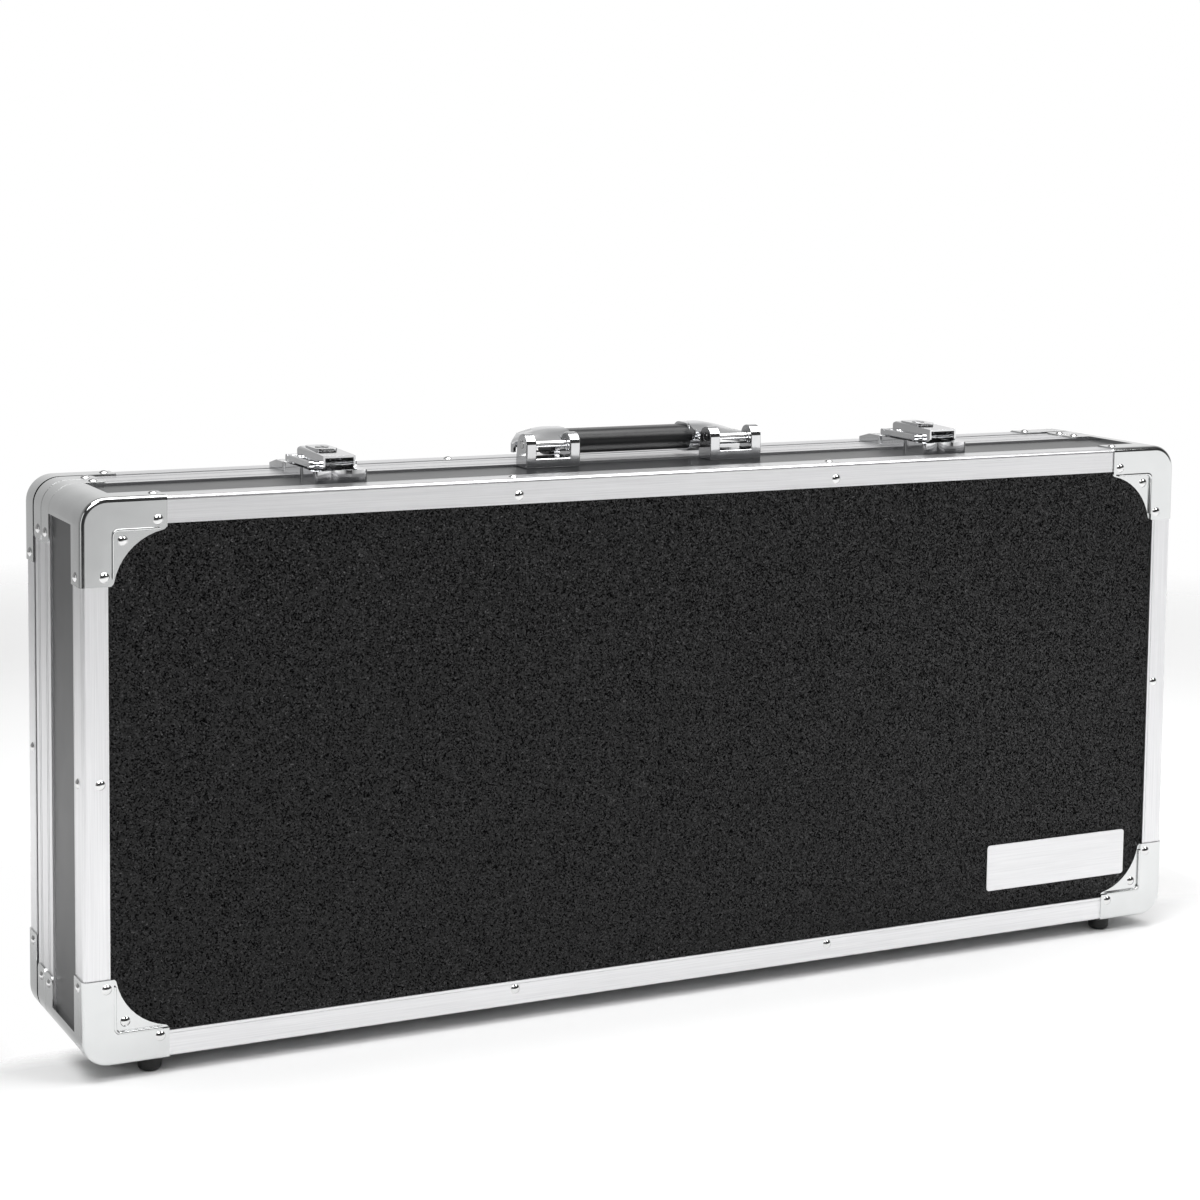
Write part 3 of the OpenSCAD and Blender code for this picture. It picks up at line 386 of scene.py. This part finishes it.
bentChrome = makePlated("bentChrome", {
    "size": 80.0, "dark": (0.70, 0.71, 0.72), "pale": (0.84, 0.84, 0.85),
    "gloss": (0.06, 0.14), "relief": 0.00008})
pinSteel = makePlated("pinSteel", {
    "size": 200.0, "dark": (0.70, 0.70, 0.71), "pale": (0.86, 0.86, 0.86),
    "gloss": (0.08, 0.14), "relief": 0.00003})
lockSteel = makeDrawn("lockSteel", {
    "scale": 2500.0, "stretch": (1.0, 0.1, 1.0), "dark": (0.42, 0.42, 0.43),
    "pale": (0.60, 0.60, 0.61), "gloss": (0.24, 0.32), "relief": 0.00003})
labelSatin = makeDrawn("labelSatin", {
    "scale": 1200.0, "stretch": (0.02, 1.0, 1.0), "dark": (0.78, 0.78, 0.79),
    "pale": (0.86, 0.86, 0.87), "gloss": (0.30, 0.38), "relief": 0.00002, "metal": 0.8})
gripBlack = makeFlecked("gripBlack", {
    "scale": 2600.0, "power": 2.0, "dark": (0.011, 0.011, 0.012), "pale": (0.022, 0.022, 0.023),
    "gloss": (0.30, 0.38), "relief": 0.00002, "lean": 0.05, "shine": 0.5})
footRubber = makeFlecked("footRubber", {
    "scale": 1800.0, "power": 2.0, "dark": (0.008, 0.008, 0.008), "pale": (0.018, 0.018, 0.018),
    "gloss": (0.5, 0.62), "relief": 0.00003, "lean": 0.1, "shine": 0.4})
liningCloth = makeCloth("liningCloth", {
    "pitch": 900.0, "fibre": 1400.0, "dark": (0.010, 0.010, 0.011), "pale": (0.022, 0.022, 0.024),
    "sheen": 0.15, "relief": 0.0002})
loopPile = makeCloth("loopPile", {
    "pitch": 500.0, "fibre": 700.0, "dark": (0.008, 0.008, 0.009), "pale": (0.030, 0.030, 0.032),
    "sheen": 0.3, "relief": 0.0006})
foamBlack = makeCloth("foamBlack", {
    "pitch": 1500.0, "fibre": 900.0, "dark": (0.010, 0.010, 0.011), "pale": (0.024, 0.024, 0.026),
    "sheen": 0.2, "relief": 0.0004})

finishOf = {
    "panel_laminate": blackPanel, "wall_laminate": blackWall, "corner_chrome": cornerChrome,
    "rivet_steel": rivetSteel, "lining_fabric": liningCloth, "loop_fabric": loopPile,
    "foam_black": foamBlack, "label_metal": labelSatin, "bracket_chrome": castChrome,
    "pin_steel": pinSteel, "grip_plastic": gripBlack, "handle_chrome": bentChrome,
    "latch_base_chrome": castChrome, "latch_chrome": bentChrome, "lock_steel": lockSteel,
    "hinge_steel": castChrome, "foot_rubber": footRubber,
}
for name, node in nodes.items():
    rail = railUp if name.endswith(("left", "right")) else railAlong
    for slot in node.material_slots:
        kind = slot.material.name.split(".")[0]
        slot.material = rail if kind == "rail_aluminium" else finishOf[kind]
print("finishes made")

# pressed and cast pieces with their edges broken

# in metres: where each fall starts, its run and its drop; cut is the block out of the eye
endSet = {"sideStart": 0.052, "sideRun": 0.0265, "sideDrop": 0.007, "behind": (0.003, 0.008),
          "frontStart": 0.013, "frontRun": 0.013, "frontDrop": 0.0036, "foot": 0.316, "top": 0.3323,
          "loop": 0.0033, "loops": (8, 6), "curve": 1.5, "near": 1e-6,
          "cut": ((0.0510, -0.0100, 0.3215), (0.0710, 0.0012, 0.3400))}


def hollowEnd(work, s):
    # a handle end falls away outwards and forwards
    def part(value, start, run):
        return min(max((value - start) / run, 0.0), 1.0)

    # loops to bend along, across the width and the depth
    way = math.copysign(1, next(iter(work.verts)).co.x)
    for axis, start in ((0, s["sideStart"]), (1, s["behind"][0] - s["loop"])):
        for i in range(s["loops"][axis]):
            place, normal = Vector(), Vector()
            place[axis] = (start + i * s["loop"]) * (way if axis == 0 else 1)
            normal[axis] = 1
            bmesh.ops.bisect_plane(work, geom=work.verts[:] + work.edges[:] + work.faces[:],
                                   plane_co=place, plane_no=normal, dist=s["near"])
    for v in work.verts:
        side = s["sideDrop"] * part(abs(v.co.x), s["sideStart"], s["sideRun"]) ** s["curve"]
        side *= part(v.co.y, s["behind"][0], s["behind"][1] - s["behind"][0])
        front = s["frontDrop"] * part(-v.co.y, -s["frontStart"], s["frontRun"])
        v.co.z -= max(side, front) * part(v.co.z, s["foot"], s["top"] - s["foot"])


def cutOpen(piece, low, high):
    # takes a block out of a piece, on the piece's own side of the middle
    way = math.copysign(1, piece.data.vertices[0].co.x)
    work = bmesh.new()
    bmesh.ops.create_cube(work, size=1)
    bmesh.ops.scale(work, vec=Vector(high) - Vector(low), verts=work.verts)
    middle = (Vector(high) + Vector(low)) / 2
    bmesh.ops.translate(work, vec=(middle.x * way, middle.y, middle.z), verts=work.verts)
    cutter = addObject("cutter", meshFrom("cutter", work))
    cut = piece.modifiers.new("cut", "BOOLEAN")
    cut.object, cut.operation, cut.solver = cutter, "DIFFERENCE", "EXACT"
    finished = finishedMesh(piece)
    piece.modifiers.remove(cut)
    piece.data = finished
    bpy.data.objects.remove(cutter)


# near, in metres, merges points and flat, in radians, merges faces; angle, in degrees, is
# where an edge counts as sharp
roundSet = {"near": 2e-6, "flat": 0.002, "angle": 32, "segments": 2}


def softenedCopy(name, width, s):
    # the node's own shape, merged, with small rounds along its sharp edges
    node = nodes[name]
    mesh = node.data.copy()
    work = bmesh.new()
    work.from_mesh(mesh)
    bmesh.ops.remove_doubles(work, verts=work.verts, dist=s["near"])
    bmesh.ops.dissolve_limit(work, angle_limit=s["flat"], verts=work.verts, edges=work.edges)
    if name.endswith("_corners"):
        # the plates' hollow-edged faces are cut up so that the round meets them cleanly
        bmesh.ops.triangulate(work, faces=work.faces[:], ngon_method="EAR_CLIP")
    if name.startswith("handle_end"):
        hollowEnd(work, endSet)
    work.to_mesh(mesh)
    work.free()
    piece = addObject(name + "_finished", mesh)
    for key in ("custom_normal", "sharp_face", "sharp_edge"):
        if key in mesh.attributes:
            mesh.attributes.remove(mesh.attributes[key])
    if name.startswith("handle_end"):
        cutOpen(piece, *endSet["cut"])
        mesh = piece.data
    mesh.shade_smooth()
    mesh.set_sharp_from_angle(angle=math.radians(s["angle"]))
    if width:
        bevel = piece.modifiers.new("brokenEdges", "BEVEL")
        bevel.width, bevel.segments = width, s["segments"]
        bevel.limit_method, bevel.angle_limit = "ANGLE", math.radians(s["angle"])
        bevel.harden_normals = True
    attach(piece, node["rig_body"])
    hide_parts(name)


# width of each piece's rounds, in metres; with 0 the copy is only merged and smoothed
edgeRounds = {
    "lid_corners": 0.00022, "tray_corners": 0.00022, "lid_corner_clips": 0.00025,
    "tray_corner_clips": 0.00025, "handle_bracket_left": 0.0009, "handle_bracket_right": 0.0009,
    "latch_base_left": 0.0005, "latch_base_right": 0.0005, "latch_catches": 0.0006,
    "latch_lever_left": 0.0004, "latch_lever_right": 0.0004,
    "latch_link_left": 0.0003, "latch_link_right": 0.0003,
    "handle_end_left": 0.0005, "handle_end_right": 0.0005, "label_plate": 0.00015,
    "latch_lock_left": 0.0003, "latch_lock_right": 0.0003,
    "hinge_lid_leaves": 0.0003, "hinge_tray_leaves": 0.0003, "lid_feet": 0.0004,
    "tray_feet": 0.0004, "lid_rivets": 0, "tray_rivets": 0, "handle_grip": 0, "handle_pins": 0,
    "latch_pivot_pins": 0, "latch_link_pin_left": 0, "latch_link_pin_right": 0, "hinge_pins": 0,
}
for name, width in edgeRounds.items():
    softenedCopy(name, width, roundSet)
print("edges broken")

# beads pressed into the corner plates

# in metres from the rails' outer faces, past which the plates' sheet stands out
beadSet = {"inset": 0.0168, "bend": 0.0034, "reach": 0.0425, "radius": 0.0008, "sunk": 0.0003,
           "sheet": 0.0008, "turns": 6, "sides": 3}


def makeBeads(name, node, body, front, s):
    curve = bpy.data.curves.new(name, "CURVE")
    curve.dimensions = "3D"
    curve.bevel_depth, curve.bevel_resolution = s["radius"], s["sides"]
    curve.use_fill_caps = True
    low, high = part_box(node)
    depth = low.y + s["sunk"] if front else high.y - s["sunk"]
    centre = s["inset"] + s["bend"]
    path = [(s["reach"], s["inset"])]
    for i in range(s["turns"] + 1):
        turn = math.pi / 2 * i / s["turns"]
        path.append((centre - s["bend"] * math.sin(turn), centre - s["bend"] * math.cos(turn)))
    path.append((s["inset"], s["reach"]))
    for side in (-1, 1):
        for end in (-1, 1):
            line = curve.splines.new("POLY")
            line.points.add(len(path) - 1)
            for point, (across, up) in zip(line.points, path):
                across, up = across + s["sheet"], up + s["sheet"]
                x = low.x + across if side < 0 else high.x - across
                z = low.z + up if end < 0 else high.z - up
                point.co = (x, depth, z, 1)
    drawn = addObject(name + "Path", curve)
    mesh = finishedMesh(drawn)
    bpy.data.objects.remove(drawn)
    mesh.shade_smooth()
    mesh.materials.append(cornerChrome)
    beads = addObject(name, mesh)
    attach(beads, body)


makeBeads("lidCornerBeads", "lid_corners", "case_lid", True, beadSet)
makeBeads("trayCornerBeads", "tray_corners", "tray", False, beadSet)
print("beads made")

# egg-crate pad

# columns and rows count half waves; steps are faces to each
foamSet = {"columns": 52, "rows": 22, "steps": 3, "base": 0.009, "bump": 0.014, "sharp": 60}


def makeFoamPad(f):
    low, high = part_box("egg_crate_foam")
    middle = (low + high) / 2
    work = bmesh.new()
    bmesh.ops.create_grid(work, x_segments=f["columns"] * f["steps"],
                          y_segments=f["rows"] * f["steps"], size=0.5)
    bmesh.ops.scale(work, vec=(high.x - low.x, high.z - low.z, 1), verts=work.verts)
    cellX, cellZ = (high.x - low.x) / f["columns"], (high.z - low.z) / f["rows"]
    left, foot = low.x - middle.x, low.z - middle.z
    for v in work.verts:
        wave = math.cos(math.pi * (v.co.x - left) / cellX)
        wave *= math.cos(math.pi * (v.co.y - foot) / cellZ)
        v.co.z = f["base"] + f["bump"] * (0.5 + 0.5 * math.sin(wave * math.pi / 2))
    rim = [e for e in work.edges if e.is_boundary]
    made = bmesh.ops.extrude_edge_only(work, edges=rim)["geom"]
    for v in (g for g in made if isinstance(g, bmesh.types.BMVert)):
        v.co.z = 0
    bmesh.ops.contextual_create(work, geom=[e for e in work.edges if e.is_boundary])
    # the grid's x, y and height are the case's x, height and depth
    place = Matrix(((1, 0, 0, middle.x), (0, 0, 1, low.y), (0, 1, 0, middle.z), (0, 0, 0, 1)))
    bmesh.ops.transform(work, matrix=place, verts=work.verts)
    bmesh.ops.recalc_face_normals(work, faces=work.faces)
    mesh = meshFrom("foamPad", work)
    mesh.shade_smooth()
    mesh.set_sharp_from_angle(angle=math.radians(f["sharp"]))
    mesh.materials.append(foamBlack)
    pad = addObject("foamPad", mesh)
    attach(pad, "case_lid")
    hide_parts("egg_crate_foam")


makeFoamPad(foamSet)
print("foam made")

# cloth linings, folded up the walls from one cut piece each

liningSet = {
    "lid": {"node": "lid_lining", "body": "case_lid", "slot": "lining_fabric", "open": 1,
            "thick": 0.0008, "fold": 0.003, "finish": liningCloth},
    "tray": {"node": "tray_lining", "body": "tray", "slot": "loop_fabric", "open": -1,
             "thick": 0.0020, "fold": 0.004, "finish": loopPile},
}
liningCut = {"gap": 0.0002, "mouth": 0.002, "segments": 4}  # the same for both


def makeLining(name, s, c):
    low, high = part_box(s["node"])
    size = high - low - Vector((2 * c["gap"],) * 3)
    work = bmesh.new()
    bmesh.ops.create_cube(work, size=1)
    bmesh.ops.scale(work, vec=size, verts=work.verts)
    bmesh.ops.translate(work, vec=(low + high) / 2, verts=work.verts)
    mouth = high.y if s["open"] > 0 else low.y
    cover = [f for f in work.faces if abs(f.calc_center_median().y - mouth) < c["mouth"]]
    bmesh.ops.delete(work, geom=cover, context="FACES")
    folds = [e for e in work.edges if not e.is_boundary]
    bmesh.ops.bevel(work, geom=folds, offset=s["fold"], segments=c["segments"], profile=0.5,
                    affect="EDGES", material=-1)
    area = sum(f.calc_area() for f in work.faces)
    mesh = meshFrom(name, work)
    mesh.shade_smooth()
    mesh.materials.append(s["finish"])
    cloth = addObject(name, mesh)
    solid = cloth.modifiers.new("thickness", "SOLIDIFY")
    solid.thickness, solid.offset = s["thick"], -1
    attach(cloth, s["body"])
    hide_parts(s["node"])


for name, s in liningSet.items():
    makeLining(name + "Lining", s, liningCut)
print("linings made")

# floor

floorSet = {"radius": 1.8, "sides": 96, "fade": (1.1, 1.7), "low": -0.0002,
            # the gap behind the case, left open for the tray to swing down into
            "gap": {"across": (0.375, 0.45), "behind": (0.38, 0.46), "front": (-0.02, 0.005)},
            "dark": (0.95, 0.95, 0.95), "pale": (0.98, 0.98, 0.98), "gloss": (0.6, 0.7),
            "marks": 3.0}


def makeFloor(f):
    work = bmesh.new()
    bmesh.ops.create_circle(work, cap_ends=True, segments=f["sides"], radius=f["radius"])
    bmesh.ops.translate(work, vec=(0, 0, f["low"]), verts=work.verts)
    mesh = meshFrom("floor", work)
    material, tree, shader = startMaterial("paleFloor")
    hand = useGroup(tree, "handled", Size=f["marks"])
    tone(tree, shader, hand["Smudge"], f["dark"], f["pale"])
    gloss(tree, shader, hand["Smudge"], *f["gloss"])
    # the sheet fades into the backdrop round its rim and round the gap
    place = objectPlace(tree)
    ways = addNode(tree, "SeparateXYZ", {0: place}).outputs
    across = addNode(tree, "Math", {0: ways[0]}, operation="ABSOLUTE").outputs[0]
    away = addNode(tree, "VectorMath", {0: place}, operation="LENGTH").outputs["Value"]
    gap = f["gap"]
    beside, behind, front, rim = (
        addNode(tree, "MapRange", {0: value, 1: start, 2: end, 3: low, 4: 1 - low}).outputs[0]
        for value, (start, end), low in ((across, gap["across"], 0), (ways[1], gap["behind"], 0),
                                         (ways[1], gap["front"], 1), (away, f["fade"], 1)))
    sheet = beside
    for other in (behind, front):
        sheet = addNode(tree, "Math", {0: sheet, 1: other}, operation="MAXIMUM").outputs[0]
    fade = addNode(tree, "Math", {0: sheet, 1: rim}, operation="MULTIPLY")
    tree.links.new(fade.outputs[0], shader.inputs["Alpha"])
    mesh.materials.append(material)
    addObject("floor", mesh)


makeFloor(floorSet)
print("floor made")

bpy.context.view_layer.update()
